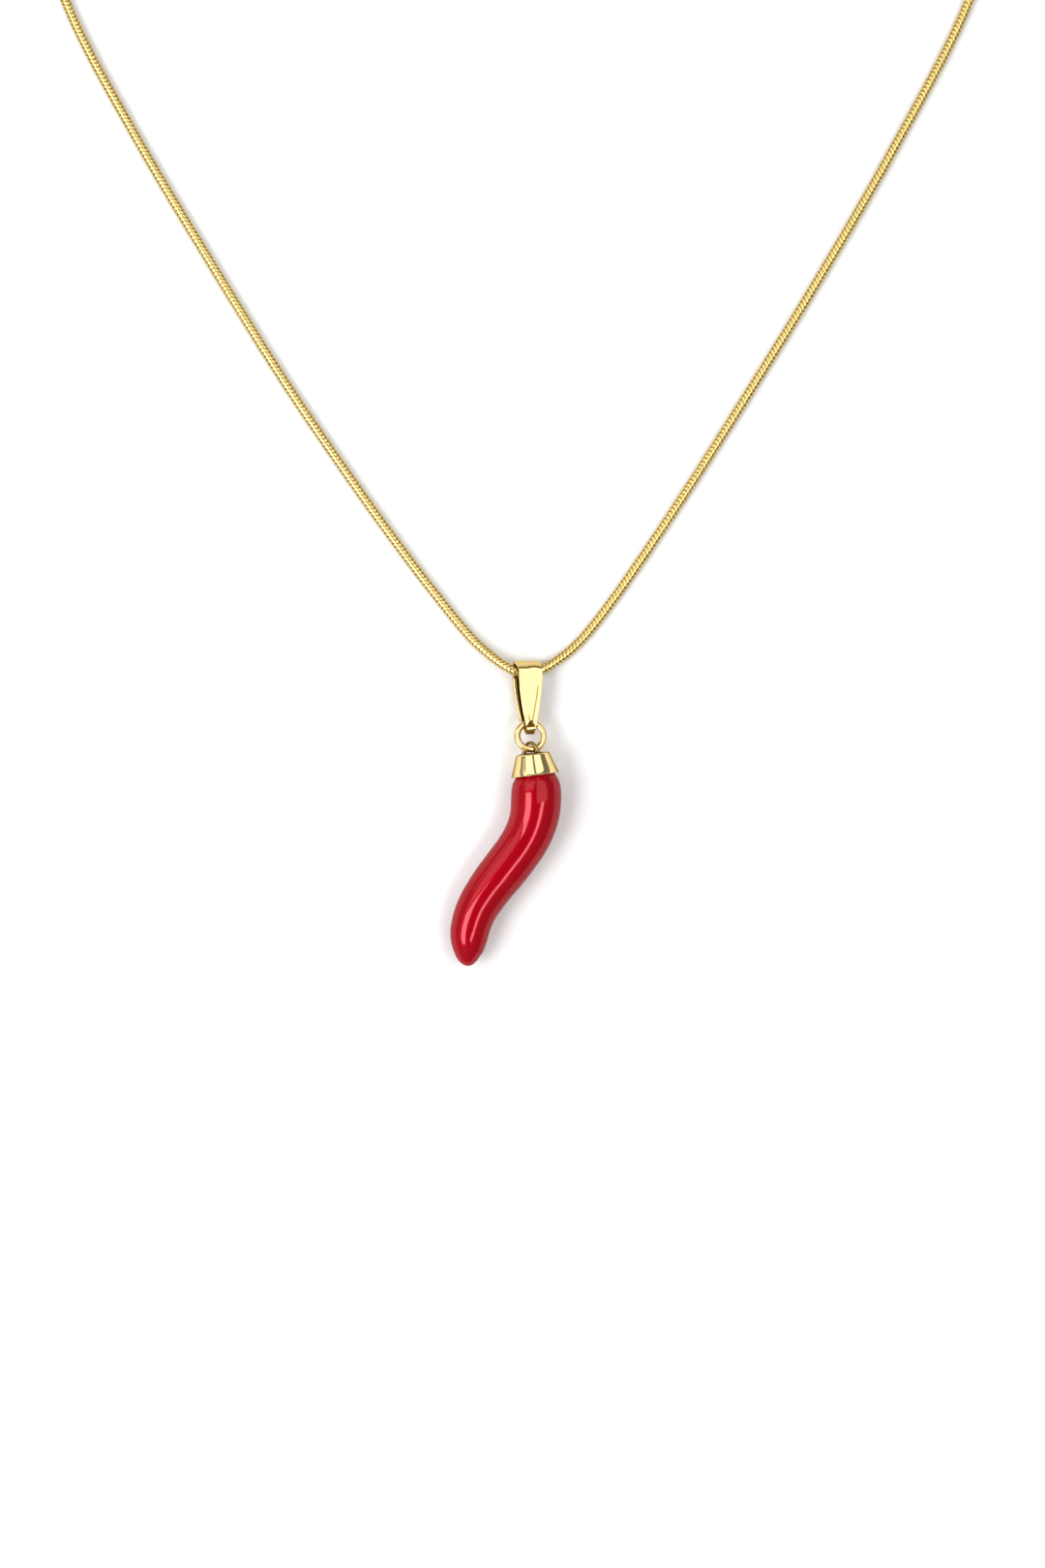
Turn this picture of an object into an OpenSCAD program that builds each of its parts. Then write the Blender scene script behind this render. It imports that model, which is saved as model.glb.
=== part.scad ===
// Chili pepper charm necklace, laid flat on a surface and seen from above.
// A red S-curved pepper hangs from a gold bell cap, a jump ring and a folded bail on a round snake chain.
// Origin: the middle of the whole outline, on the surface. +X is right, +Y is up the chain to the clasp,
// +Z is up from the surface. Millimetres.

/* [Pepper] */
// Length of the pepper below the cap's rim
pepper_len = 24.5; // [20:0.5:27]
// Diameter of the pepper's shoulder
pepper_d = 6.45; // [6.3:0.05:6.6]
// Sideways sweep of the S-curve, from shoulder to tip
pepper_sway = 8.7; // [4:0.1:10]
// Share of the length that rounds off the tip
tip_share = 0.18; // [0.12:0.01:0.3]

/* [Bell cap] */
// Diameter of the cap's rim
cap_rim_d = 6.1; // [6:0.05:6.3]
// Diameter of the cap's top
cap_top_d = 4.2; // [4.1:0.05:4.5]
// Height of the cap without its eye
cap_h = 2.75; // [2.6:0.05:2.9]
// Wall of the cap
cap_wall = 0.35; // [0.3:0.01:0.4]
// Wire of the eye soldered on the cap
eye_wire = 0.45; // [0.4:0.01:0.5]
// Width of the eye, outside
eye_w = 2.8; // [2.75:0.05:2.9]

/* [Jump ring] */
// Outer diameter of the ring
ring_od = 4.3; // [4.25:0.05:4.35]
// Wire of the ring
ring_wire = 0.83; // [0.7:0.01:0.84]
// Gap at the ring's cut
ring_cut = 0.12; // [0.05:0.01:0.3]

/* [Bail] */
// Length of the bail, fold to fold
bail_len = 9.6; // [9.5:0.1:9.8]
// Width of the band at the top of the wide fold
bail_w = 3.7; // [3.4:0.1:3.8]
// Width of the band at the narrow fold
bail_end_w = 1.16; // [1.1:0.02:1.2]
// How much further the back leaf reaches than the front one, on each side
bail_back_more = 0.3; // [0:0.05:0.35]
// Depth of the bail at the wide fold
bail_depth = 3.2; // [3.1:0.1:3.3]
// Depth of the bail at the narrow fold
bail_end_depth = 1.75; // [1.7:0.05:1.85]
// Thickness of the band
bail_sheet = 0.34; // [0.3:0.02:0.36]

/* [Chain] */
// Diameter of the snake chain
chain_d = 1.2; // [1:0.05:1.25]
// Rings of the chain's tube between two points of its route
rings_per_span = 2; // [1:1:2]

/* [Clasp] */
// Length of the barrel clasp
clasp_len = 12; // [11:0.5:16]
// Diameter of the barrel clasp
clasp_d = 3.6; // [3:0.1:3.8]

/* [Hidden] */
$fn = 64;

gold = "#e3c15a";
red = "#b8101f";

// Middle of the cap's rim, with the cap and pepper lying together on their shoulder and belly
rim_at = [2.5, -78.45, 3.34];
drop_tilt = 1.8;
cap_lean = 7;

// Middles and turns of the ring and of the bail's wide fold
ring_at = [1.9, -73.48, 2.92];
ring_turn = [-12, 10, 0];
bail_at = [1.6, -65.3, 1.95];
bail_turn = [-6, 12, 0.5];

// Pepper: its sides, its rings and its neck inside the cap
pepper_sides = 32;
body_rings = 30;
tip_rings = 10;
neck_len = 2.1;
neck_rings = 4;
neck_gap = 0.12;
bend_start = 0.09;
bend_end = 0.93;
tip_hook = 0.3;

// Share of the length, share of the shoulder's diameter
PEPPER_ROWS = [
  [0.00, 0.775],
  [0.04, 0.925],
  [0.08, 0.985],
  [0.15, 1.000],
  [0.26, 0.962],
  [0.38, 0.932],
  [0.52, 0.912],
  [0.64, 0.862],
  [0.80, 0.785],
  [0.90, 0.735],
  [1.00, 0.700],
];

// Cap: slope of its wall, its rounded top edge, and its eye
cap_slope = (cap_rim_d - cap_top_d) / 2 / cap_h;
cap_edge = 0.3;
cap_roof = 0.4;
eye_leg = 0.2;
eye_turn = -45;
eye_at = [-0.2, 0.16];

// Jump ring: where its cut is, from +X
ring_r = (ring_od - ring_wire) / 2;
cut_angle = -66;
cut_span = ring_cut / ring_r * 180 / PI;

// Bail: its two folds, and the straight leaves between them
fold_r = bail_depth / 2;
end_fold_r = bail_end_depth / 2;
fold_gap = bail_len - fold_r - end_fold_r;
leaf_angle = asin((fold_r - end_fold_r) / fold_gap);
flat_r = 1.2;
flat_angle = 57;

// Share of the way from the top of the wide fold to the narrow fold, share of the band's taper still to come,
// share of the back leaf's further reach
TAPER = [
  [0.00, 1.00, 0.0],
  [0.13, 0.81, 0.2],
  [0.29, 0.78, 0.8],
  [0.57, 0.57, 1.0],
  [0.86, 0.23, 0.8],
  [1.00, 0.00, 0.0],
];

// Clasp: its middle, its end holes, its rounded ends and its waist
clasp_at = [0, 101, clasp_d / 2];
clasp_hole_r = 0.7;
clasp_hole = 1.2;
clasp_end_r = 1.15;
clasp_round = 2.4;
waist_deep = 0.12;
waist_w = 0.5;

// Route of the chain's centre: x, y, z, from one side of the clasp round to the other
CHAIN_ROUTE = [
  [-5.0, 101.0, 1.8],
  [-9.0, 101.0, 1.7],
  [-18.0, 100.3, 0.85],
  [-30.0, 97.5, 0.62],
  [-43.5, 90.8, 0.6],
  [-54.6, 80.3, 0.6],
  [-61.8, 66.8, 0.6],
  [-64.2, 51.5, 0.6],
  [-62.5, 35.5, 0.6],
  [-57.5, 20.0, 0.6],
  [-49.1, 4.0, 0.6],
  [-39.6, -12.0, 0.6],
  [-30.3, -27.0, 0.6],
  [-21.5, -40.0, 0.6],
  [-14.3, -50.0, 0.6],
  [-9.3, -56.5, 0.61],
  [-6.0, -60.5, 0.75],
  [-3.8, -62.6, 1.2],
  [-1.8, -64.15, 1.67],
  [0.0, -65.1, 1.94],
  [1.7, -65.2, 1.69],
  [3.5, -64.85, 1.24],
  [5.5, -63.6, 0.9],
  [7.6, -61.9, 0.75],
  [10.2, -59.0, 0.61],
  [14.6, -53.0, 0.6],
  [21.3, -43.0, 0.6],
  [30.2, -29.0, 0.6],
  [39.4, -14.0, 0.6],
  [48.6, 2.0, 0.6],
  [57.9, 20.0, 0.6],
  [62.7, 35.5, 0.6],
  [64.3, 51.5, 0.6],
  [61.8, 66.8, 0.6],
  [54.6, 80.3, 0.6],
  [43.5, 90.8, 0.6],
  [30.0, 97.5, 0.62],
  [18.0, 100.3, 0.85],
  [9.0, 101.0, 1.7],
  [5.0, 101.0, 1.8],
];
chain_sides = 8;

// Slope of a table of [position, value] rows at row i
function row_slope(rows, i) =
  let (a = rows[max(i - 1, 0)], b = rows[min(i + 1, len(rows) - 1)])
  (b[1] - a[1]) / (b[0] - a[0]);

// Value of the table at position s, on a cubic between each two rows
function smooth_row(rows, s) =
  let (
    i = max([for (k = [0 : len(rows) - 2]) if (rows[k][0] <= s) k]),
    a = rows[i],
    b = rows[i + 1],
    step = b[0] - a[0],
    t = (s - a[0]) / step,
    rise = step * row_slope(rows, i),
    fall = step * row_slope(rows, i + 1)
  )
  a[1] * (1 + 2 * t) * pow(1 - t, 2) + rise * t * pow(1 - t, 2)
    + b[1] * t * t * (3 - 2 * t) - fall * t * t * (1 - t);

// Even step from 0 to 1 that starts and ends flat
function ease(t) =
  let (c = min(max(t, 0), 1))
  c * c * c * (c * (6 * c - 15) + 10);

// Sideways place of the pepper's centre line at share s of its length: leaning with the cap at the rim,
// then one S-curve, then a slight hook back at the tip
function pepper_x(s) =
  let (
    before = min((bend_start - s) / bend_start, 1),
    neck = s < bend_start ? before * before * bend_start / 2 + max(-s, 0) : 0,
    hook = max((s - bend_end) / (1 - bend_end), 0)
  )
  tan(cap_lean) * pepper_len * (bend_start / 2 - neck)
    - pepper_sway * ease((s - bend_start) / (bend_end - bend_start)) + tip_hook * hook * hook;

// Radius of the pepper at share s: the neck follows the inside of the cap, and the tip is half an ellipse
function pepper_r(s) =
  let (t = min(max((s - 1 + tip_share) / tip_share, 0), 1))
  s < 0
    ? cap_rim_d / 2 - cap_wall - neck_gap + cap_slope * s * pepper_len
    : pepper_d / 2 * smooth_row(PEPPER_ROWS, s) * sqrt(1 - t * t);

// One ring of n points, of radius r, square to the way dir of a route at the point at
function ring_points(at, dir, r, n) =
  let (
    u = cross(dir, [0, 0, 1]) / norm(cross(dir, [0, 0, 1])),
    v = cross(u, dir)
  )
  [for (k = [0 : n - 1]) at + r * (cos(360 * k / n) * u + sin(360 * k / n) * v)];

// Solid skin over a list of rings of n points each, closed by flat ends
module skin(rings, n) {
  last = len(rings) - 1;
  points = [for (ring = rings) each ring];
  walls = [
    for (j = [0 : last - 1])
      for (k = [0 : n - 1])
        [j * n + k, j * n + (k + 1) % n, (j + 1) * n + (k + 1) % n, (j + 1) * n + k]
  ];
  first_end = [for (k = [n - 1 : -1 : 0]) k];
  last_end = [for (k = [0 : n - 1]) last * n + k];
  polyhedron(points = points, faces = concat([first_end], walls, [last_end]), convexity = 4);
}

// Shares of the length at which the pepper has a ring: even on the neck and body, closer towards the tip,
// where the last ring is the small flat that closes it
function pepper_shares() = concat(
  [for (j = [0 : neck_rings - 1]) -neck_len / pepper_len * (1 - j / neck_rings)],
  [for (j = [0 : body_rings - 1]) (1 - tip_share) * j / body_rings],
  [for (j = [0 : tip_rings]) 1 - tip_share + tip_share * sin(88 * j / tip_rings)]
);

module pepper() {
  nudge = 0.001;
  rings = [
    for (s = pepper_shares())
      let (
        at = [pepper_x(s), -s * pepper_len, 0],
        ahead = [pepper_x(s + nudge), -(s + nudge) * pepper_len, 0],
        way = (ahead - at) / norm(ahead - at)
      )
      ring_points(at, way, pepper_r(s), pepper_sides)
  ];
  color(red)
    translate(rim_at) rotate([drop_tilt, 0, 0]) skin(rings, pepper_sides);
}

// Wire arch that stands on the cap: half a ring on two short legs
module cap_eye() {
  eye_r = (eye_w - eye_wire) / 2;
  translate([eye_at[0], eye_at[1], cap_h]) rotate([0, 0, eye_turn]) {
    translate([0, 0, eye_leg]) rotate([90, 0, 0])
      rotate_extrude(angle = 180) translate([eye_r, 0]) circle(d = eye_wire);
    for (side = [-1, 1])
      translate([side * eye_r, 0, -cap_roof / 2]) cylinder(d = eye_wire, h = cap_roof / 2 + eye_leg);
  }
}

// Hollow cone, with its axis up and its rim at zero
module cap_shell() {
  rim_r = cap_rim_d / 2;
  top_r = cap_top_d / 2;
  inner_h = cap_h - cap_roof;
  edge_at = [top_r + cap_slope * cap_edge - cap_edge, cap_h - cap_edge];
  edge = [for (a = [0 : 30 : 90]) edge_at + cap_edge * [cos(a), sin(a)]];
  inside = [
    [0, cap_h],
    [0, inner_h],
    [rim_r - cap_wall - cap_slope * inner_h, inner_h],
    [rim_r - cap_wall, 0],
  ];
  rotate_extrude() polygon(concat([[rim_r, 0]], edge, inside));
}

module bell_cap() {
  color(gold)
    translate(rim_at) rotate([drop_tilt, 0, 0]) rotate([0, 0, cap_lean]) rotate([-90, 0, 0]) {
      cap_shell();
      cap_eye();
    }
}

module jump_ring() {
  color(gold)
    translate(ring_at) rotate(ring_turn)
      rotate_extrude(start = cut_angle + cut_span / 2, angle = 360 - cut_span)
        translate([ring_r, 0]) circle(d = ring_wire);
}

// Side view of the bail as a solid bar of width w: two folds of radii fold_r and end_fold_r, less by inset,
// and the leaves between them. The wide fold is pressed flat in front, where it meets the front leaf in a crease
module bail_bar(inset, w) {
  big = fold_r - inset;
  small = end_fold_r - inset;
  rise = sin(leaf_angle);
  run = cos(leaf_angle);
  rotate([0, 90, 0]) {
    intersection() {
      cylinder(r = big, h = w, center = true);
      rotate([0, 0, 180 - flat_angle])
        translate([-bail_len, -bail_len, -w / 2]) cube([bail_len + flat_r - inset, 2 * bail_len, w]);
    }
    translate([0, -fold_gap, 0]) cylinder(r = small, h = w, center = true);
    linear_extrude(height = w, center = true) polygon([
      [big * run, -big * rise],
      [-big * run, -big * rise],
      [-small * run, -fold_gap - small * rise],
      [small * run, -fold_gap - small * rise],
    ]);
  }
}

// Front view of half the bail's depth, on the side of its middle plane that way gives: the band narrows from
// its wide fold to its narrow one, and reaches further out by more where the table says so
module bail_outline(way, more) {
  top_y = fold_r;
  end_y = -fold_gap - end_fold_r / 2;
  right = concat(
    [[bail_w / 2, top_y + bail_sheet]],
    [
      for (row = TAPER)
        [(bail_end_w + (bail_w - bail_end_w) * row[1]) / 2 + more * row[2], top_y + (end_y - top_y) * row[0]]
    ],
    [[bail_end_w / 2, end_y - end_fold_r]]
  );
  left = [for (k = [len(right) - 1 : -1 : 0]) [-right[k][0], right[k][1]]];
  translate([0, 0, way * bail_depth / 2])
    linear_extrude(height = bail_depth, center = true) polygon(concat(right, left));
}

module bail() {
  color(gold)
    translate(bail_at) rotate(bail_turn)
      intersection() {
        difference() {
          bail_bar(0, bail_w);
          bail_bar(bail_sheet, 2 * bail_w);
        }
        union() {
          bail_outline(1, 0);
          bail_outline(-1, bail_back_more);
        }
      }
}

// Point of the chain's route at share t between points i and i + 1
function route_point(i, t) =
  let (
    last = len(CHAIN_ROUTE) - 1,
    b = CHAIN_ROUTE[i],
    c = CHAIN_ROUTE[min(i + 1, last)],
    a = i > 0 ? CHAIN_ROUTE[i - 1] : 2 * b - c,
    d = i < last - 1 ? CHAIN_ROUTE[i + 2] : 2 * c - b
  )
  b + t / 2 * (c - a + t * (2 * a - 5 * b + 4 * c - d + t * (3 * b - a - 3 * c + d)));

module chain() {
  spans = len(CHAIN_ROUTE) - 1;
  centres = concat(
    [for (i = [0 : spans - 1]) for (k = [0 : rings_per_span - 1]) route_point(i, k / rings_per_span)],
    [CHAIN_ROUTE[spans]]
  );
  last = len(centres) - 1;
  rings = [
    for (j = [0 : last])
      let (way = centres[min(j + 1, last)] - centres[max(j - 1, 0)])
      ring_points(centres[j], way / norm(way), chain_d / 2, chain_sides)
  ];
  color(gold) skin(rings, chain_sides);
}

// Plain barrel with a hole in each end for the chain and a shallow waist
module clasp() {
  half = clasp_len / 2;
  r = clasp_d / 2;
  round_end = [
    for (a = [90 : -22.5 : 0])
      [clasp_end_r + (r - clasp_end_r) * cos(a), half - clasp_round * (1 - sin(a))]
  ];
  waist = [
    [r, waist_w / 2],
    [r - waist_deep, waist_w / 2 - waist_deep],
  ];
  upper = concat([[0, half]], round_end, waist);
  lower = [for (k = [len(upper) - 1 : -1 : 0]) [upper[k][0], -upper[k][1]]];
  color(gold)
    translate(clasp_at) rotate([0, 90, 0])
      difference() {
        rotate_extrude() polygon(concat(upper, lower));
        for (side = [-1, 1])
          translate([0, 0, side * half]) cylinder(r = clasp_hole_r, h = 2 * clasp_hole, center = true);
      }
}

pepper();
bell_cap();
jump_ring();
bail();
chain();
clasp();
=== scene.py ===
import bpy
import numpy as np
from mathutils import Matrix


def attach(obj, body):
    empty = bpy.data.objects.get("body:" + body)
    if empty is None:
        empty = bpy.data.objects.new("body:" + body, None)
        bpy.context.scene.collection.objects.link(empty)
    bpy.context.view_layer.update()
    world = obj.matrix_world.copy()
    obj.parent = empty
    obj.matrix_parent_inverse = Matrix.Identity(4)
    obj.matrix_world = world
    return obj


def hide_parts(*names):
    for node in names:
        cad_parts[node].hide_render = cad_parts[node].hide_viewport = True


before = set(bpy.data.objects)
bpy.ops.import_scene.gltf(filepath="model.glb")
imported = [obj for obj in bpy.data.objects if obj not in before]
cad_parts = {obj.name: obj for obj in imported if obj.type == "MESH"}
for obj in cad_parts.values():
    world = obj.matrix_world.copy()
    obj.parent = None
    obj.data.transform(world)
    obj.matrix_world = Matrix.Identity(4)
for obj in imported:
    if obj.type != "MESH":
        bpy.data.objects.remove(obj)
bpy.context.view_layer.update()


# The pepper: a horn cast in filled resin, bent in one soft S, silvered and dipped in translucent red enamel.
# Its neck goes up into the bell cap, where it is glued. It lies on its shoulder and its belly, tilted by 1.8
# degrees.
mm = 0.001
PEPPER_LENGTH = 24.5 * mm
PEPPER_RADIUS = 6.45 / 2 * mm
PEPPER_SWAY = 8.7 * mm  # how far the S swings to the left
BEND_START, BEND_END = 0.09, 0.93  # shares of the length
TIP_SHARE = 0.18
TIP_HOOK = 0.3 * mm
TIP_STOP = 89.6  # degrees: the tip's round stops just short of its pole
NECK_LENGTH = 2.1 * mm
NECK_RADIUS = 2.58 * mm
NECK_SLOPE = 0.95 / 2.75
CAP_LEAN = 7  # degrees
DROP_TILT = 1.8  # degrees
RIM_AT = np.array([2.5, -78.45, 3.34]) * mm
PEPPER_ROWS = [  # share of the length, share of the shoulder's radius
    (0.00, 0.775),
    (0.04, 0.925),
    (0.08, 0.985),
    (0.15, 1.000),
    (0.26, 0.962),
    (0.38, 0.932),
    (0.52, 0.912),
    (0.64, 0.862),
    (0.80, 0.785),
    (0.90, 0.735),
    (1.00, 0.700),
]
ENAMEL_RUN = 0.0022  # share of the radius
NECK_RINGS, BODY_RINGS, TIP_RINGS, PEPPER_SIDES = 16, 184, 60, 96


def smooth_rows(rows, s):
    """Value at s of a table of (place, value) rows: the cubic
    a (1 + 2t)(1 - t)^2 + rise t (1 - t)^2 + b t^2 (3 - 2t) - fall t^2 (1 - t)
    between rows a and b, whose slopes rise and fall come from the rows on either side."""
    place, value = np.array(rows, float).T
    n = len(place)
    after = np.minimum(np.arange(n) + 1, n - 1)
    before = np.maximum(np.arange(n) - 1, 0)
    slope = (value[after] - value[before]) / (place[after] - place[before])
    i = np.clip(np.searchsorted(place, s, side="right") - 1, 0, n - 2)
    step = place[i + 1] - place[i]
    t = (s - place[i]) / step
    return (
        value[i] * (1 + 2 * t) * (1 - t) ** 2
        + step * slope[i] * t * (1 - t) ** 2
        + value[i + 1] * t * t * (3 - 2 * t)
        - step * slope[i + 1] * t * t * (1 - t)
    )


def ease(t):
    """Step from 0 to 1 that starts and ends flat: t^3 (t (6t - 15) + 10)."""
    c = np.clip(t, 0, 1)
    return c**3 * (c * (6 * c - 15) + 10)


def turned(points, x=0, y=0, z=0):
    """Points turned about X, then Y, then Z, by angles in degrees: p Rx Ry Rz."""
    a, b, c = np.radians([x, y, z])
    about_x = np.array([[1, 0, 0], [0, np.cos(a), np.sin(a)], [0, -np.sin(a), np.cos(a)]])
    about_y = np.array([[np.cos(b), 0, -np.sin(b)], [0, 1, 0], [np.sin(b), 0, np.cos(b)]])
    about_z = np.array([[np.cos(c), np.sin(c), 0], [-np.sin(c), np.cos(c), 0], [0, 0, 1]])
    return points @ about_x @ about_y @ about_z


def pepper_centre(s):
    """Centre line of the pepper at share s: x follows the cap's lean, then one eased sweep to the left and
    a hook t^2 at the tip, y = -s length."""
    before = np.minimum((BEND_START - s) / BEND_START, 1)
    neck = np.where(s < BEND_START, before**2 * BEND_START / 2 + np.maximum(-s, 0), 0)
    hook = np.maximum((s - BEND_END) / (1 - BEND_END), 0)
    x = (
        np.tan(np.radians(CAP_LEAN)) * PEPPER_LENGTH * (BEND_START / 2 - neck)
        - PEPPER_SWAY * ease((s - BEND_START) / (BEND_END - BEND_START))
        + TIP_HOOK * hook**2
    )
    return np.stack([x, -s * PEPPER_LENGTH, 0 * s], -1)


def pepper_surface():
    """P(s, a) = C(s) + r(s) w(s, a) (cos a u + sin a v), with u and v square to the centre line C. The radius
    r is the table's, times sqrt(1 - t^2) over the tip. w is 1 plus the enamel's slow run: three low waves
    wind round the pepper, under half a percent of its radius, and fade out at the cap and at the tip."""
    neck = np.linspace(-NECK_LENGTH / PEPPER_LENGTH, 0, NECK_RINGS + 1)[:-1]
    body = np.linspace(0, 1 - TIP_SHARE, BODY_RINGS)
    tip = 1 - TIP_SHARE + TIP_SHARE * np.sin(np.radians(np.linspace(0, TIP_STOP, TIP_RINGS + 1)))[1:]
    s = np.concatenate([neck, body, tip])[:, None]
    t = np.clip((s - 1 + TIP_SHARE) / TIP_SHARE, 0, 1)
    radius = np.where(
        s < 0,
        NECK_RADIUS + NECK_SLOPE * s * PEPPER_LENGTH,
        PEPPER_RADIUS * smooth_rows(PEPPER_ROWS, np.clip(s, 0, 1)) * np.sqrt(1 - t * t),
    )
    way = pepper_centre(s[:, 0] + 0.001) - pepper_centre(s[:, 0])
    way /= np.linalg.norm(way, axis=1, keepdims=True)
    u = np.cross(way, [0, 0, 1])
    u /= np.linalg.norm(u, axis=1, keepdims=True)
    v = np.cross(u, way)
    a = np.linspace(0, 2 * np.pi, PEPPER_SIDES, endpoint=False)[None, :]
    run = (
        np.sin(2 * a + 9 * s) * np.sin(21 * s + 1)
        + 0.6 * np.sin(3 * a - 31 * s)
        + 0.5 * np.sin(a + 47 * s)
    )
    swell = 1 + ENAMEL_RUN * run * np.clip(s / 0.05, 0, 1) * (1 - t**4)
    across = np.cos(a)[..., None] * u[:, None] + np.sin(a)[..., None] * v[:, None]
    points = pepper_centre(s[:, 0])[:, None] + (radius * swell)[..., None] * across
    return turned(points, x=DROP_TILT) + RIM_AT


def grid_piece(name, grid, looped=False, marks=None):
    """One closed mesh from a grid of points, rows x columns x 3. Each row is closed round. The rows go round
    too where looped, and otherwise a fan to the row's middle closes each end. Faces are turned outwards by
    the sign of the volume, sum a . (b x c) / 6. marks holds named values, one for each grid point."""
    m, n = grid.shape[:2]
    points = grid.reshape(-1, 3)
    i, k = np.meshgrid(np.arange(m if looped else m - 1), np.arange(n), indexing="ij")
    j, q = (i + 1) % m, (k + 1) % n
    quads = np.stack([i * n + k, i * n + q, j * n + q, j * n + k], -1).reshape(-1, 4)
    fans = np.zeros((0, 3), int)
    if not looped:
        ring = np.arange(n)
        first = np.stack([ring * 0 + m * n, (ring + 1) % n, ring], -1)
        last = np.stack([ring * 0 + m * n + 1, (m - 1) * n + ring, (m - 1) * n + (ring + 1) % n], -1)
        fans = np.concatenate([first, last])
        points = np.concatenate([points, grid[[0, -1]].mean(1)])
    triangles = np.concatenate([quads[:, [0, 1, 2]], quads[:, [0, 2, 3]], fans])
    a, b, c = (points[triangles[:, e]] for e in range(3))
    if np.einsum("ij,ij->", a, np.cross(b, c)) < 0:
        quads, fans = quads[:, ::-1], fans[:, ::-1]
    mesh = bpy.data.meshes.new(name)
    mesh.from_pydata(points.tolist(), [], quads.tolist() + fans.tolist())
    mesh.polygons.foreach_set("use_smooth", np.ones(len(mesh.polygons), bool))
    for mark, values in (marks or {}).items():
        padded = np.zeros(len(points), np.float32)
        padded[: m * n] = np.broadcast_to(values, (m, n)).ravel()
        mesh.attributes.new(mark, "FLOAT", "POINT").data.foreach_set("value", padded)
    piece = bpy.data.objects.new(name, mesh)
    bpy.context.scene.collection.objects.link(piece)
    return piece


def linear(colour):
    """sRGB hex to linear with alpha 1: c / 12.92 up to 0.04045, and ((c + 0.055) / 1.055)^2.4 above."""
    c = np.array([int(colour[i : i + 2], 16) for i in (1, 3, 5)]) / 255
    return (*np.where(c <= 0.04045, c / 12.92, ((c + 0.055) / 1.055) ** 2.4).tolist(), 1.0)


def add(tree, kind, inputs=(), **settings):
    """Adds a node of that kind. settings are its own properties. inputs gives an input, by its name or its
    number, a value, another node, whose first output it takes, or one output of a node."""
    node = tree.nodes.new(kind)
    for name, value in settings.items():
        setattr(node, name, value)
    sockets = {s.name: s for s in reversed(node.inputs) if s.enabled} | dict(enumerate(node.inputs))
    for name, value in dict(inputs).items():
        if isinstance(value, bpy.types.Node):
            value = [s for s in value.outputs if s.enabled][0]
        if isinstance(value, bpy.types.NodeSocket):
            tree.links.new(value, sockets[name])
        else:
            sockets[name].default_value = value
    return node


def coat(piece, name, build):
    """Gives the piece the material of that name. build adds its nodes and returns its shader's inputs."""
    material = bpy.data.materials.get(name)
    if material is None:
        material = bpy.data.materials.new(name)
        material.use_nodes = True
        tree = material.node_tree
        tree.nodes.clear()
        shader = add(tree, "ShaderNodeBsdfPrincipled", build(tree))
        add(tree, "ShaderNodeOutputMaterial", {"Surface": shader})
    piece.data.materials.append(material)


def dipped_red_enamel(tree):
    # Translucent red enamel over a silvered horn, dipped and cured smooth. The silvering gives the lamps back
    # as broad red glows, and the thin clear skin mirrors them as narrow pale streaks. The red is a little
    # darker in slow patches about 4 mm wide, and the skin has a faint peel about 1 mm wide.
    place = add(tree, "ShaderNodeTexCoord").outputs["Object"]
    patches = add(
        tree,
        "ShaderNodeTexNoise",
        {"Vector": place, "Scale": 260, "Detail": 2, "Roughness": 0.45},
    )
    red = add(
        tree,
        "ShaderNodeMix",
        {"Factor": patches, "A": linear("#ac0418"), "B": linear("#9a0215")},
        data_type="RGBA",
    )
    peel = add(tree, "ShaderNodeTexNoise", {"Vector": place, "Scale": 1100, "Detail": 1})
    bump = add(tree, "ShaderNodeBump", {"Height": peel, "Strength": 0.2, "Distance": 0.01 * mm})
    return {
        "Base Color": red,
        "Metallic": 0.28,
        "Roughness": 0.3,
        "Specular IOR Level": 0.0,
        "Specular Tint": linear("#801020"),
        "Coat Weight": 0.35,
        "Coat IOR": 1.65,
        "Coat Roughness": 0.03,
        "Coat Normal": bump,
    }


pepper = grid_piece("enamel_pepper", pepper_surface())
coat(pepper, "dipped_red_enamel", dipped_red_enamel)
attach(pepper, "root")
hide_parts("pepper")


# The bell cap: a cone pressed from thin steel sheet, with a lip turned out a little at its rim, polished and
# plated in pale gold. A wire arch soldered on its top is the eye that the jump ring goes through.
CAP_RIM, CAP_TOP, CAP_HEIGHT = 6.1 / 2 * mm, 4.2 / 2 * mm, 2.75 * mm
CAP_WALL, CAP_ROOF, CAP_EDGE = 0.35 * mm, 0.4 * mm, 0.3 * mm
CAP_LIP, LIP_FALL, LIP_HALF_HEIGHT = 0.08 * mm, 0.2 * mm, 0.06 * mm
ROOF_CROWN, ROOF_POWER = 0.12 * mm, 4
POLE_RADIUS = 0.02 * mm
EYE_WIRE, EYE_RADIUS, EYE_LEG, EYE_ROOT = 0.225 * mm, 1.175 * mm, 0.2 * mm, 0.12 * mm
EYE_AT, EYE_TURN = (-0.2 * mm, 0.16 * mm), -45
SOLDER, SOLDER_FALL = 0.3 * mm, 0.2 * mm
# Painted shade on the cap under the ring: its share on the roof round the eye, its reach and fall, and its
# share on the whole eye.
ROOF_PAINTED_SHADE, ROOF_SHADE_REACH, ROOF_SHADE_FALL = 0.85, 1.15 * mm, 0.3 * mm
EYE_PAINTED_SHADE = 0.6
CAP_SIDES, EYE_SIDES = 128, 28


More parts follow.
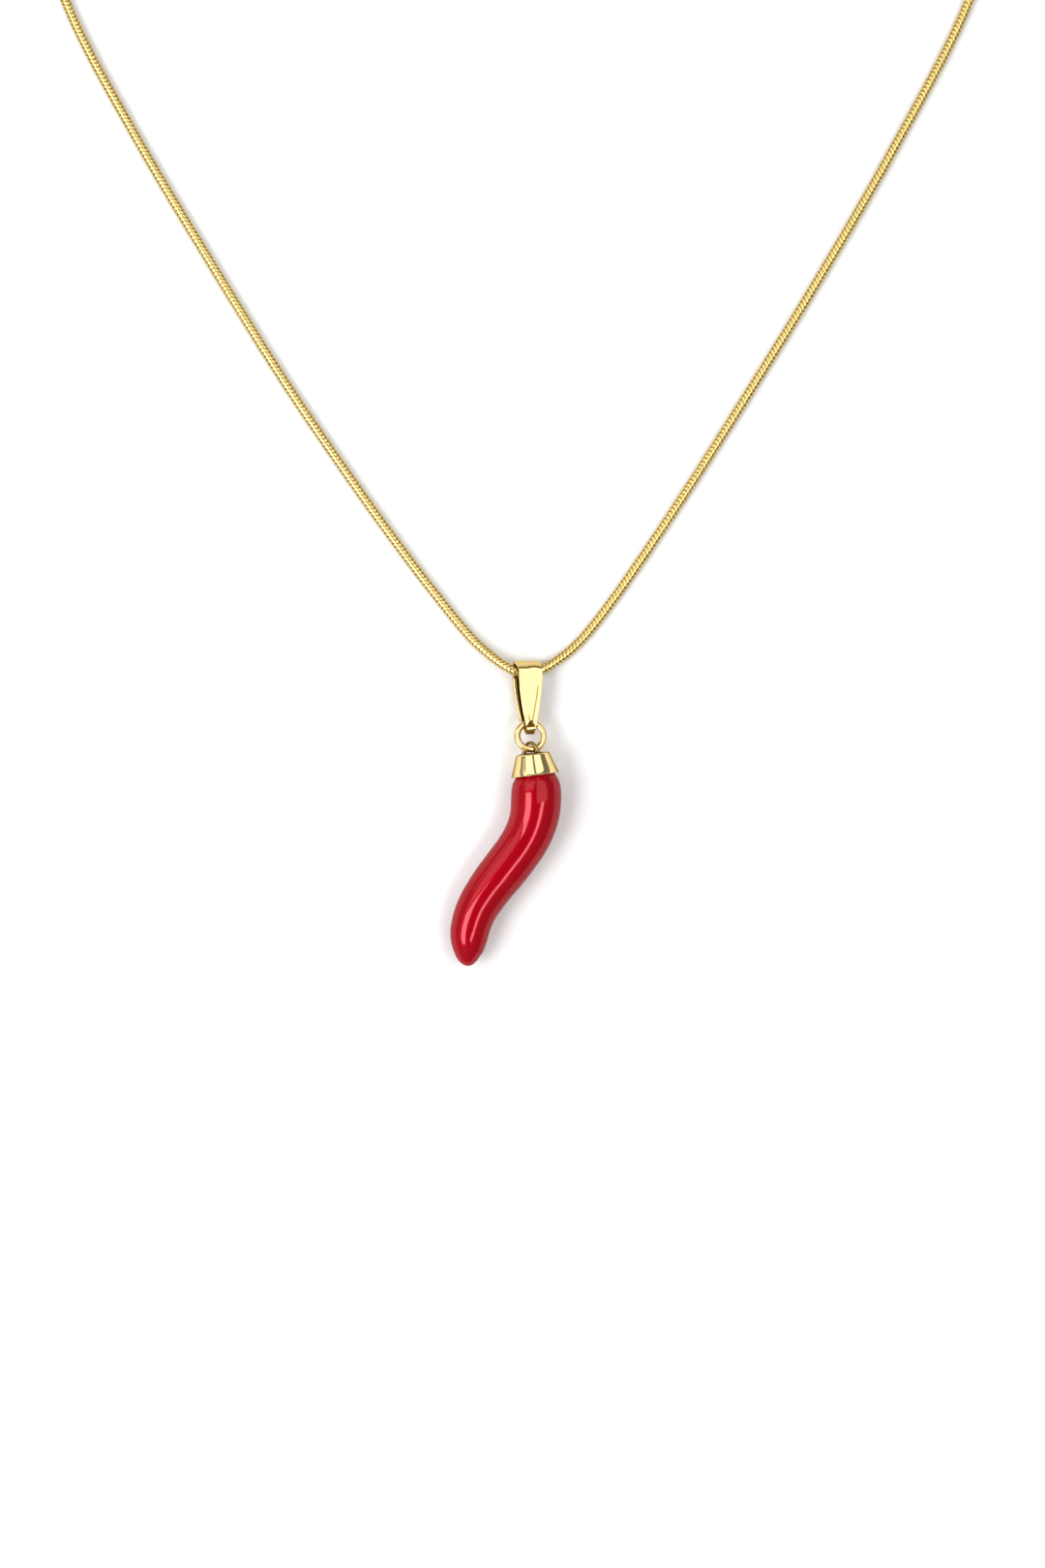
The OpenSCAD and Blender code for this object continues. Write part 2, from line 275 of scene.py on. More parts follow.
def cap_surface():
    """The cap's profile, radius and height, turned round its axis: P(k, a) = (r cos a, r sin a, h). Outside,
    r runs straight from the rim to the top with a small lip that fades as exp(-h / 0.2 mm), and a quarter
    round joins it to the roof, which is crowned as 1 - (r / its radius)^4. Inside, it runs from the roof down
    to the rim, and half an ellipse closes the rim."""
    slope = (CAP_RIM - CAP_TOP) / CAP_HEIGHT
    h = np.concatenate([np.linspace(0.05, 0.6, 12), np.linspace(0.7, 2.4, 18)]) * mm
    wall = np.stack([CAP_RIM - slope * h + CAP_LIP * np.exp(-h / LIP_FALL), h], -1)
    a = np.radians(np.linspace(18, 90, 10))
    middle = CAP_TOP + slope * CAP_EDGE - CAP_EDGE
    edge_top = CAP_HEIGHT - CAP_EDGE
    edge = np.stack([middle + CAP_EDGE * np.cos(a), edge_top + CAP_EDGE * np.sin(a)], -1)
    roof_r = np.linspace(middle * 0.96, POLE_RADIUS, 14)
    roof = np.stack([roof_r, CAP_HEIGHT + ROOF_CROWN * (1 - (roof_r / middle) ** ROOF_POWER)], -1)
    inner_height = CAP_HEIGHT - CAP_ROOF
    inner_top = CAP_RIM - CAP_WALL - slope * inner_height
    under = np.linspace(0, 1, 14)[:, None]
    ceiling_r = POLE_RADIUS + (inner_top - 0.1 * mm) * under
    ceiling = np.concatenate([ceiling_r, inner_height + 0 * under], -1)
    inner_h = np.linspace(inner_height - 0.08 * mm, LIP_HALF_HEIGHT, 16)
    inside = np.stack([CAP_RIM - CAP_WALL - slope * inner_h, inner_h], -1)
    b = np.radians(np.linspace(180, 360, 9))
    lip_middle = CAP_RIM + CAP_LIP / 2 - CAP_WALL / 2
    lip_half_width = CAP_WALL / 2 + CAP_LIP / 2
    lip_height = LIP_HALF_HEIGHT + LIP_HALF_HEIGHT * np.sin(b)
    lip = np.stack([lip_middle + lip_half_width * np.cos(b), lip_height], -1)
    profile = np.concatenate([ceiling, inside, lip, wall, edge, roof])
    around = np.linspace(0, 2 * np.pi, CAP_SIDES, endpoint=False)
    r, height = profile[:, 0, None], profile[:, 1, None]
    return np.stack([r * np.cos(around), r * np.sin(around), height + 0 * around], -1)


def eye_surface():
    """Wire of radius w(s) along an arch: a leg up, a half circle, a leg down. P(s, a) = C(s) + w (cos a n +
    sin a b), where n points away from the arch's middle and b is square to the arch. The solder makes w grow
    towards the roof as exp(-(h / 0.2 mm)^2)."""
    leg = np.linspace(-EYE_ROOT, EYE_LEG, 12)
    arc = np.radians(np.linspace(0, 180, 49))[1:-1]
    x = np.concatenate([leg * 0 + EYE_RADIUS, EYE_RADIUS * np.cos(arc), leg * 0 - EYE_RADIUS])
    z = np.concatenate([leg, EYE_LEG + EYE_RADIUS * np.sin(arc), leg[::-1]])
    out = np.concatenate([leg * 0, arc, leg * 0 + np.pi])
    w = EYE_WIRE + SOLDER * np.exp(-((np.maximum(z, 0) / SOLDER_FALL) ** 2))
    a = np.linspace(0, 2 * np.pi, EYE_SIDES, endpoint=False)
    n = np.stack([np.cos(out), 0 * out, np.sin(out)], -1)[:, None]
    centre = np.stack([x, 0 * x, z], -1)[:, None]
    side = np.array([0, 1.0, 0])
    ring = np.cos(a)[:, None] * n + np.sin(a)[:, None] * side
    return turned(centre + w[:, None, None] * ring, z=EYE_TURN) + [*EYE_AT, CAP_HEIGHT]


def painted_roof_shade(points):
    """Painted shade on the roof round the eye, under the ring: exp(-(d / 1.15 mm)^6) near the roof, d from
    the eye's middle, fading below the roof as exp(-(drop / 0.3 mm)^2)."""
    off = np.hypot(points[..., 0] - EYE_AT[0], points[..., 1] - EYE_AT[1])
    drop = np.maximum(CAP_HEIGHT - points[..., 2], 0)
    return ROOF_PAINTED_SHADE * np.exp(-((off / ROOF_SHADE_REACH) ** 6)) * np.exp(-((drop / ROOF_SHADE_FALL) ** 2))


def on_pendant(points):
    """Points of the cap's own upright place, laid down with the pendant: leaning, then tilted."""
    return turned(turned(turned(points, x=-90), z=CAP_LEAN), x=DROP_TILT) + RIM_AT


def polished_gold_plating(tree):
    # Stamped steel, buffed and plated in pale 14-carat yellow gold: a mirror with a warm straw colour, a
    # little deeper in patches about 2.4 mm wide. Buffing leaves hairlines that soften its mirror images. They
    # are drawn 0.4 mm wide and 2 mm long, coarser than the real ones, so that they show. Each point's mark
    # mixes in a dark olive brown as painted shade: in the bail's notch, grooves, crease, folds and inner
    # face, and on the cap's roof and eye under the ring.
    place = add(tree, "ShaderNodeTexCoord").outputs["Object"]
    tone = add(
        tree,
        "ShaderNodeTexNoise",
        {"Vector": place, "Scale": 420, "Detail": 3, "Roughness": 0.5},
    )
    gold = add(
        tree,
        "ShaderNodeMix",
        {"Factor": tone, "A": linear("#fbe2a6"), "B": linear("#f6d796")},
        data_type="RGBA",
    )
    shade = add(tree, "ShaderNodeAttribute", attribute_name="seam_shade")
    # The dark olive brown is painted shade, mixed in by each point's mark.
    shaded_gold = add(
        tree,
        "ShaderNodeMix",
        {"Factor": shade.outputs["Fac"], "A": gold, "B": linear("#5c3f10")},
        data_type="RGBA",
    )
    stretch = add(tree, "ShaderNodeMapping", {"Vector": place, "Scale": (2600, 500, 2600)})
    lines = add(tree, "ShaderNodeTexNoise", {"Vector": stretch, "Scale": 1, "Detail": 2})
    rough = add(tree, "ShaderNodeMapRange", {"Value": lines, "To Min": 0.06, "To Max": 0.17})
    bump = add(tree, "ShaderNodeBump", {"Height": lines, "Strength": 0.12, "Distance": 0.004 * mm})
    return {
        "Base Color": shaded_gold,
        "Metallic": 1.0,
        "Specular Tint": linear("#7d6c3a"),
        "Roughness": rough,
        "Normal": bump,
    }


# The cone's roof is painted darker round the eye, and the whole eye a little darker: painted shade under the
# ring.
cone, eye = cap_surface(), eye_surface()
for name, surface, painted_shade in (
    ("bell_cap_cone", cone, painted_roof_shade(cone)),
    ("bell_cap_eye", eye, EYE_PAINTED_SHADE),
):
    piece = grid_piece(name, on_pendant(surface), marks={"seam_shade": painted_shade})
    coat(piece, "polished_gold_plating", polished_gold_plating)
    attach(piece, "root")
    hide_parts("bell_cap")


# The jump ring: round steel wire, polished and gold-plated, bent to a circle, cut at the lower right and
# closed by hand, so that its left end stops a little inside the right one. It lies inclined, through the
# cap's eye and the bail's lower fold.
RING_AT = np.array([1.9, -73.48, 2.92]) * mm
RING_TILT = {"x": -12, "y": 10}  # degrees
RING_RADIUS, RING_WIRE = 1.735 * mm, 0.415 * mm
RING_CUT, RING_GAP = -66, 0.12 * mm  # degrees, width
END_STEP, END_REACH, END_ROUND_OFF = 0.06 * mm, 0.5 * mm, 0.16 * mm
RING_ROWS, RING_SIDES = 150, 40


def ring_surface():
    """P(t, a) = R(t) (cos t, sin t, 0) + w(t) (cos a (cos t, sin t, 0) + sin a Z), over the circle less the
    gap. R steps inwards towards the end that comes from the left and outwards towards the other one, by
    0.06 mm exp(-d / 0.5 mm), and w rounds each end off as sqrt(1 - 0.94 e^2) over the last 0.16 mm."""
    gap = RING_GAP / RING_RADIUS
    turn = 2 * np.pi - gap
    near = END_ROUND_OFF / RING_RADIUS * (1 - np.cos(np.linspace(0, np.pi / 2, 9)))
    between = np.linspace(near[-1], turn - near[-1], RING_ROWS)[1:-1]
    t = np.concatenate([near, between, turn - near[::-1]])
    from_start, from_end = t * RING_RADIUS, (turn - t) * RING_RADIUS
    radius = RING_RADIUS + END_STEP * (np.exp(-from_start / END_REACH) - np.exp(-from_end / END_REACH))
    end = np.clip(1 - np.minimum(from_start, from_end) / END_ROUND_OFF, 0, 1)
    w = RING_WIRE * np.sqrt(1 - 0.94 * end**2)
    angle = np.radians(RING_CUT) + gap / 2 + t
    out = np.stack([np.cos(angle), np.sin(angle), 0 * angle], -1)[:, None]
    a = np.linspace(0, 2 * np.pi, RING_SIDES, endpoint=False)[:, None]
    ring = np.cos(a) * out + np.sin(a) * np.array([0, 0, 1.0])
    return turned(radius[:, None, None] * out + w[:, None, None] * ring, **RING_TILT) + RING_AT


ring = grid_piece("jump_ring_wire", ring_surface())
coat(ring, "polished_gold_plating", polished_gold_plating)
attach(ring, "root")
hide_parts("jump_ring")


# The bail: one band of gold-plated steel, folded over the chain at its wide end and through the jump ring at
# its narrow end. The wide fold is pressed flat in front, where it meets the front leaf in a soft crease, and
# the front leaf has a low bevel along each edge and ends in a small pressed notch.
BAIL_AT = np.array([1.6, -65.3, 1.95]) * mm
BAIL_TILT = {"x": -6, "y": 12, "z": 0.5}  # degrees
FOLD, END_FOLD, SHEET = 1.6 * mm, 0.875 * mm, 0.34 * mm
FOLD_GAP = 9.6 * mm - FOLD - END_FOLD
FLAT_AT, FLAT_ANGLE = 1.2 * mm, 57
BAIL_WIDTHS = [  # y, half the width of the front, half the width of the back, in mm
    (-8.4, 0.58, 0.58),
    (-7.56, 0.58, 0.58),
    (-6.28, 0.87, 1.11),
    (-3.62, 1.30, 1.60),
    (-1.06, 1.57, 1.81),
    (0.41, 1.61, 1.67),
    (1.60, 1.85, 1.85),
]
EDGE_ROUND, BEND_ROUND = 0.08 * mm, 0.13 * mm
FRONT_CROWN = 0.015 * mm
BEVEL, BEVEL_SPREAD, BEVEL_SLOPE, BEVEL_FADE = 0.5 * mm, 0.03, 0.05, 1.3 * mm
BEVEL_TOP_RIGHT, BEVEL_TOP_LEFT = 1.2 * mm, 5.0 * mm  # down from the wide fold's middle
LINE_LEAST = 0.12 * mm  # the bevels' lines stay this far from the middle
GROOVE_DEPTH, GROOVE_WIDTH = 0.022 * mm, 0.07 * mm
NOTCH_TOP, NOTCH_END = -6.22 * mm, -7.16 * mm
NOTCH_HALF, NOTCH_FLARE = 0.12 * mm, 0.65
NOTCH_DEPTH, NOTCH_WALL, NOTCH_RAMP = 0.2 * mm, 0.16 * mm, 0.25 * mm
ROLLED_EDGE, ROLLED_SLOPE = 0.24 * mm, 0.55
CREASE_AT, CREASE_WIDTH, CREASE_HEIGHT = 0.43 * mm, 0.15 * mm, 1.4 * mm
WAVE_RISE, WAVE_AT, WAVE_WIDTH, WAVE_BASE = 0.16 * mm, 0.5 * mm, 0.55 * mm, 0.03 * mm
# Painted shade, as shares of a dark olive brown: in the notch and the bevels' grooves, along the crease, on
# the front leaf's left edge, across the narrow fold, and over the band's inner face.
RELIEF_DARKNESS, CREASE_DARKNESS, EDGE_DARKNESS = 0.95, 0.85, 0.85
FOLD_DARKNESS, SLOT_DARKNESS = 0.6, 0.5
BAIL_ROWS = 460


def bail_side(inset):
    """One skin of the band in its side view, rows of y and z: the back of the wide fold, the straight back
    leaf, the narrow fold, the straight front leaf, the front of the wide fold, and its pressed flat, which
    lies at FLAT_AT less inset from the fold's middle. Each fold is an arc r (sin a, cos a)."""
    lean = np.arcsin((FOLD - END_FOLD) / FOLD_GAP)
    big, small = FOLD - inset, END_FOLD - inset
    half = np.arccos((FLAT_AT - inset) / big)
    flat = np.radians(FLAT_ANGLE)
    back = np.linspace(flat + half, np.pi + lean, 41)
    narrow = np.linspace(np.pi + lean, 2 * np.pi - lean, 61)
    front = np.linspace(-lean, flat - half, 13)
    arcs = [
        np.stack([y + r * np.sin(a), r * np.cos(a)], -1)
        for y, r, a in ((0, big, back), (-FOLD_GAP, small, narrow), (0, big, front))
    ]
    share = np.linspace(0, 1, 121)[1:-1, None]
    down = arcs[0][-1] + share * (arcs[1][0] - arcs[0][-1])
    up = arcs[1][-1] + share * (arcs[2][0] - arcs[1][-1])
    over = arcs[2][-1] + np.linspace(0, 1, 61)[1:-1, None] * (arcs[0][0] - arcs[2][-1])
    return np.concatenate([arcs[0], down, arcs[1], up, arcs[2], over])


def bail_skins():
    """Outer and inner skin of the band, resampled to even steps along its middle, and each averaged along the
    loop with the weights 1 + cos over BEND_ROUND, which rounds its bends."""
    outer, inner = bail_side(0), bail_side(SHEET)
    middle = (outer + inner) / 2
    step = np.linalg.norm(np.roll(middle, -1, 0) - middle, axis=1)
    run = np.concatenate([[0], np.cumsum(step)])
    at = np.linspace(0, run[-1], BAIL_ROWS, endpoint=False)
    reach = int(np.ceil(BEND_ROUND / (run[-1] / BAIL_ROWS)))
    offsets = np.arange(-reach, reach + 1)
    weights = 1 + np.cos(np.pi * offsets / (reach + 1))
    skins = []
    for skin in (outer, inner):
        closed = np.concatenate([skin, skin[:1]])
        even = np.stack([np.interp(at, run, closed[:, k]) for k in range(2)], -1)
        shifted = np.stack([np.roll(even, o, 0) for o in offsets])
        skins.append(np.tensordot(weights / weights.sum(), shifted, 1))
    return skins


def bail_half_width(y, z):
    """Half the band's width: a smooth curve through the table's front column where z is above 0, and through
    its back column elsewhere, averaged over 11 rows, so that one goes over into the other in the folds."""
    place, front, back = np.array(BAIL_WIDTHS).T
    at = np.minimum(y / mm, place[-1])
    front_half, back_half = (smooth_rows(np.stack([place, side], -1), at) for side in (front, back))
    half = np.where(z > 0, front_half, back_half) * mm
    return sum(np.roll(half, o) for o in range(-5, 6)) / 11


def front_columns(flat_end, line):
    """Places across the outer face, from its right edge to its left one. Seven stand close about each bevel's
    line, so that the groove there is sharp."""
    about = np.array([0.09, 0.06, 0.03, 0.0, -0.03, -0.06, -0.09]) * mm
    outside = flat_end + (line + about[0] - flat_end) * np.linspace(0, 1, 7)[:-1]
    within = (line + about[-1]) * np.linspace(1, 0, 11)[1:]
    right = np.concatenate([outside, np.minimum(line + about, flat_end), within], 1)
    return np.concatenate([right, -right[:, -2::-1]], 1)


def front_relief(across, line, down):
    """Depths of the front leaf's bevels, grooves and notch. A bevel falls by 0.05 (|a| - line) outside its
    line, and a fine groove exp(-((|a| - line) / 0.07 mm)^2) follows the line. The notch is a hollow with
    eased walls, whose half width is 0.12 mm at its top and grows downwards by 0.65 of the way."""
    top = np.where(across > 0, BEVEL_TOP_RIGHT, BEVEL_TOP_LEFT)
    bevelled = ease((down - top) / BEVEL_FADE) * ease((-NOTCH_END - down) / (0.3 * mm))
    fall = BEVEL_SLOPE * np.maximum(np.abs(across) - line, 0) * bevelled
    groove = GROOVE_DEPTH * bevelled * np.exp(-(((np.abs(across) - line) / GROOVE_WIDTH) ** 2))
    notch_half = NOTCH_HALF + NOTCH_FLARE * (down + NOTCH_TOP)
    hollow = ease((notch_half - np.abs(across)) / NOTCH_WALL) * ease((down + NOTCH_TOP) / NOTCH_RAMP)
    hollow = NOTCH_DEPTH * hollow * ease((-NOTCH_END - down) / NOTCH_WALL)
    return fall, groove, hollow


def bail_surface():
    """P(s, c) = a(s, c) X + inner(s) + b(s, c) (outer(s) - inner(s)), with the painted shade of each point.
    a goes from the right edge to the left one outside and back inside, over a quarter round at each corner.
    b is 1 outside, less a low crown and the front's relief, and 0 inside, where the back leaf's edges are
    rolled outwards. The crease waves by exp(-((a - 0.5 mm) / 0.55 mm)^2)."""
    outer, inner = bail_skins()
    thick = np.linalg.norm(outer - inner, axis=1)[:, None]
    y, z = ((outer + inner) / 2).T
    down = -y[:, None]
    half = bail_half_width(y, z)[:, None]
    flat_end = half - EDGE_ROUND

    line = np.maximum(half - BEVEL - BEVEL_SPREAD * down, LINE_LEAST)
    across = front_columns(flat_end, line)
    fall, groove, hollow = front_relief(across, line, down)
    on_front = ((z > 0) & (y < 0.3 * mm)).astype(float)[:, None]
    crown = FRONT_CROWN * (1 - (across / flat_end) ** 2) - FRONT_CROWN
    face = 1 + (crown - on_front * (fall + groove + hollow)) / thick

    on_back = ease((down - 0.2 * mm) / (0.8 * mm)) * ease(-z[:, None] / (0.2 * mm))
    roll_start = np.maximum(half - ROLLED_EDGE, 0)
    margin = roll_start + (flat_end - roll_start) * np.linspace(0, 1, 12)
    flat_part = roll_start * np.linspace(-1, 1, 8)[1:-1]
    under = np.concatenate([-margin[:, ::-1], flat_part, margin], 1)
    fallen = on_back * ROLLED_SLOPE * np.maximum(np.abs(under) - roll_start, 0) / thick

    # Painted shade on the band: the notch and grooves, the narrow fold under the ring, the crease, the front
    # leaf's left edge, and the inner face except the back leaf's rolled edges.
    relief = RELIEF_DARKNESS * hollow / NOTCH_DEPTH + RELIEF_DARKNESS * groove / GROOVE_DEPTH
    narrow_fold = FOLD_DARKNESS * ease((down + NOTCH_END + 0.1 * mm) / (0.2 * mm))
    crease = np.exp(-(((y - CREASE_AT) / CREASE_WIDTH) ** 2)) * (z > 0.6 * mm)
    dark = np.maximum(on_front * relief, narrow_fold) + CREASE_DARKNESS * crease[:, None]
    slot = SLOT_DARKNESS * (1 - on_back * (fallen > 0))
    left_edge = EDGE_DARKNESS * on_front

    low, drop = EDGE_ROUND / thick, fallen[:, :1]
    high = face[:, :1] - low
    deep = np.clip(low, drop + 0.02, high - 0.01) - drop
    q = np.radians(np.linspace(0, 90, 7))
    start, stop = q[:-1], q[1:]
    parts = [  # places across, places through the sheet, painted shade
        (flat_end + EDGE_ROUND * np.cos(start), high + low * np.sin(start), 0),
        (across, face, np.clip(dark, 0, 1)),
        (-flat_end - EDGE_ROUND * np.sin(stop), high + low * np.cos(stop), left_edge),
        (-flat_end - EDGE_ROUND * np.cos(start), drop + deep * (1 - np.sin(start)), left_edge),
        (under, fallen, slot),
        (flat_end + EDGE_ROUND * np.sin(stop), drop + deep * (1 - np.cos(stop)), 0),
    ]
    a, b, seam_shade = (
        np.concatenate([np.broadcast_to(part[k], part[0].shape) for part in parts], 1) for k in range(3)
    )
    near = np.exp(-(((y - CREASE_AT) / (0.3 * mm)) ** 2) - ((z - CREASE_HEIGHT) / (0.4 * mm)) ** 2)
    wave = WAVE_RISE * np.exp(-(((a - WAVE_AT) / WAVE_WIDTH) ** 2)) - WAVE_BASE
    skin = inner[:, None] + b[..., None] * (outer - inner)[:, None]
    points = np.stack([a, skin[..., 0] + wave * near[:, None], skin[..., 1]], -1)
    return turned(points, **BAIL_TILT) + BAIL_AT, seam_shade


bail_points, bail_shade = bail_surface()
bail = grid_piece("folded_bail", bail_points, looped=True, marks={"seam_shade": bail_shade})
coat(bail, "polished_gold_plating", polished_gold_plating)
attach(bail, "root")
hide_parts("bail")


# The snake chain: about 800 thin bands of gold-plated brass, each bent like a saddle and nested in the next,
# so that the chain is a smooth round rope. It lies in one loop, rises through the bail and into the clasp.
CHAIN_RADIUS = 0.6 * mm
BAND_PITCH = 0.55 * mm
BAND_WAVE = 0.22 * mm
BAND_RINGS = [  # share of a band, share of the radius, painted shade in the seam
    (0.00, 0.965, 1.00),
    (0.12, 0.988, 0.60),
    (0.30, 1.000, 0.00),
    (0.70, 1.000, 0.00),
    (0.88, 0.988, 0.60),
]
SEAM_DEEPER = 0.5
SLOW_TWIST, SLOW_LENGTH = 0.35, 11 * mm  # radians, and the length of chain for each radian of its sine
QUICK_TWIST, QUICK_LENGTH = 0.15, 4.3 * mm
PLAIN_END = 2 * mm
CHAIN_SIDES, ROUTE_STEPS = 20, 60
CHAIN_ROUTE = [  # x, y, z in mm, from one side of the clasp round to the other
    (-5.0, 101.0, 1.8),
    (-9.0, 101.0, 1.7),
    (-18.0, 100.3, 0.85),
    (-30.0, 97.5, 0.62),
    (-43.5, 90.8, 0.6),
    (-54.6, 80.3, 0.6),
    (-61.8, 66.8, 0.6),
    (-64.2, 51.5, 0.6),
    (-62.5, 35.5, 0.6),
    (-57.5, 20.0, 0.6),
    (-49.1, 4.0, 0.6),
    (-39.6, -12.0, 0.6),
    (-30.3, -27.0, 0.6),
    (-21.5, -40.0, 0.6),
    (-14.3, -50.0, 0.6),
    (-9.3, -56.5, 0.61),
    (-6.0, -60.5, 0.75),
    (-3.8, -62.6, 1.2),
    (-1.8, -64.15, 1.67),
    (0.0, -65.1, 1.94),
    (1.7, -65.2, 1.69),
    (3.5, -64.85, 1.24),
    (5.5, -63.6, 0.9),
    (7.6, -61.9, 0.75),
    (10.2, -59.0, 0.61),
    (14.6, -53.0, 0.6),
    (21.3, -43.0, 0.6),
    (30.2, -29.0, 0.6),
    (39.4, -14.0, 0.6),
    (48.6, 2.0, 0.6),
    (57.9, 20.0, 0.6),
    (62.7, 35.5, 0.6),
    (64.3, 51.5, 0.6),
    (61.8, 66.8, 0.6),
    (54.6, 80.3, 0.6),
    (43.5, 90.8, 0.6),
    (30.0, 97.5, 0.62),
    (18.0, 100.3, 0.85),
    (9.0, 101.0, 1.7),
    (5.0, 101.0, 1.8),
]


def route_line(route, steps):
    """Points of a uniform Catmull-Rom curve through the route, its ends mirrored:
    b + t/2 (c - a + t (2a - 5b + 4c - d + t (3b - a - 3c + d)))."""
    p = np.array(route) * mm
    p = np.concatenate([2 * p[:1] - p[1:2], p, 2 * p[-1:] - p[-2:-1]])
    a, b, c, d = (p[k : len(p) - 3 + k, None] for k in range(4))
    t = np.linspace(0, 1, steps, endpoint=False)[None, :, None]
    line = b + t / 2 * (c - a + t * (2 * a - 5 * b + 4 * c - d + t * (3 * b - a - 3 * c + d)))
    return np.concatenate([line.reshape(-1, 3), p[-2:-1]])


def chain_surface():
    """P(j, a) = C(s) + r (cos a u + sin a v), with s = s_j + wave cos 2(a - twist(s_j)): each ring is bent
    like a saddle round the line C, so the rings follow the bands' wavy edges. r is the table's share of the
    radius, a little deeper in the seam where the wave turns, and the twist wanders slowly along the chain.
    The wave dies away over the last 2 mm, so that the ends are flat. Each point also gets painted shade: the
    table's, from 0.7 of it up to all of it where the wave turns."""
    line = route_line(CHAIN_ROUTE, ROUTE_STEPS)
    run = np.concatenate([[0], np.cumsum(np.linalg.norm(np.diff(line, axis=0), axis=1))])
    bands = int(run[-1] / BAND_PITCH)
    share, size, dark = np.array(BAND_RINGS).T
    s0 = ((np.arange(bands)[:, None] + share) * run[-1] / bands).reshape(-1)
    s0 = np.append(s0, run[-1])[:, None]
    size = np.append(np.tile(size, bands), size[0])[:, None]
    dark = np.append(np.tile(dark, bands), dark[0])[:, None]
    a = np.linspace(0, 2 * np.pi, CHAIN_SIDES, endpoint=False)[None, :]
    twist = (
        SLOW_TWIST * np.sin(s0 / SLOW_LENGTH) + QUICK_TWIST * np.sin(s0 / QUICK_LENGTH + 1) - np.pi / 4
    )
    ends = np.clip(np.minimum(s0, run[-1] - s0) / PLAIN_END, 0, 1)
    wave = np.cos(2 * (a - twist))
    s = s0 + BAND_WAVE * ends * wave
    centre = np.stack([np.interp(s, run, line[:, k]) for k in range(3)], -1)
    slope = np.gradient(line, axis=0) / np.gradient(run)[:, None]
    way = np.stack([np.interp(s0[:, 0], run, slope[:, k]) for k in range(3)], -1)
    u = np.cross(way, [0, 0, 1])
    u /= np.linalg.norm(u, axis=1, keepdims=True)
    v = np.cross(u, way)
    v /= np.linalg.norm(v, axis=1, keepdims=True)
    r = CHAIN_RADIUS * (size - (1 - size) * SEAM_DEEPER * wave**2)
    ring = np.cos(a)[..., None] * u[:, None] + np.sin(a)[..., None] * v[:, None]
    return centre + r[..., None] * ring, dark * (0.7 + 0.3 * wave**2)


def tumbled_gold_chain(tree):
    # Thin brass bands, rolled, tumbled bright and plated: the gold is a shade deeper than on the bail, in
    # patches about 1 mm wide, and softer in its gloss from the tumbling. The seams between the bands are
    # painted olive brown, as painted shade where the bands shade each other.
    place = add(tree, "ShaderNodeTexCoord").outputs["Object"]
    tone = add(tree, "ShaderNodeTexNoise", {"Vector": place, "Scale": 900, "Detail": 2})
    gold = add(
        tree,
        "ShaderNodeMix",
        {"Factor": tone, "A": linear("#fadf92"), "B": linear("#f4d27e")},
        data_type="RGBA",
    )
    shade = add(tree, "ShaderNodeAttribute", attribute_name="seam_shade")
    # The dark olive brown is painted shade between the bands, mixed in by each point's mark.
    seamed = add(
        tree,
        "ShaderNodeMix",
        {"Factor": shade.outputs["Fac"], "A": gold, "B": linear("#6a4e16")},
        data_type="RGBA",
    )
    rough = add(tree, "ShaderNodeMapRange", {"Value": tone, "To Min": 0.22, "To Max": 0.32})
    return {"Base Color": seamed, "Metallic": 1.0, "Specular Tint": linear("#78662c"), "Roughness": rough}


chain_points, chain_shade = chain_surface()
chain = grid_piece("snake_chain", chain_points, marks={"seam_shade": chain_shade})
coat(chain, "tumbled_gold_chain", tumbled_gold_chain)
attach(chain, "root")
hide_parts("chain")


# The barrel clasp: two turned halves of gold-plated brass that screw together at a fine waist. Each has a
# hole in its rounded end, where the chain's end is glued in.
CLASP_AT = np.array([0, 101, 1.8]) * mm
CLASP_HALF, CLASP_RADIUS = 6 * mm, 1.8 * mm
END_RADIUS, END_ROUND = 1.15 * mm, 2.4 * mm
WAIST_DEPTH, WAIST_HALF = 0.12 * mm, 0.25 * mm
TURNED_AT, TURNED_DEPTH, TURNED_WIDTH = 0.75 * mm, 0.03 * mm, 0.06 * mm
HOLE_RADIUS, HOLE_DEPTH = 0.7 * mm, 1.2 * mm
MOUTH_ROUND, MOUTH_DEPTH = 0.08 * mm, 0.12 * mm
CLASP_SIDES = 96


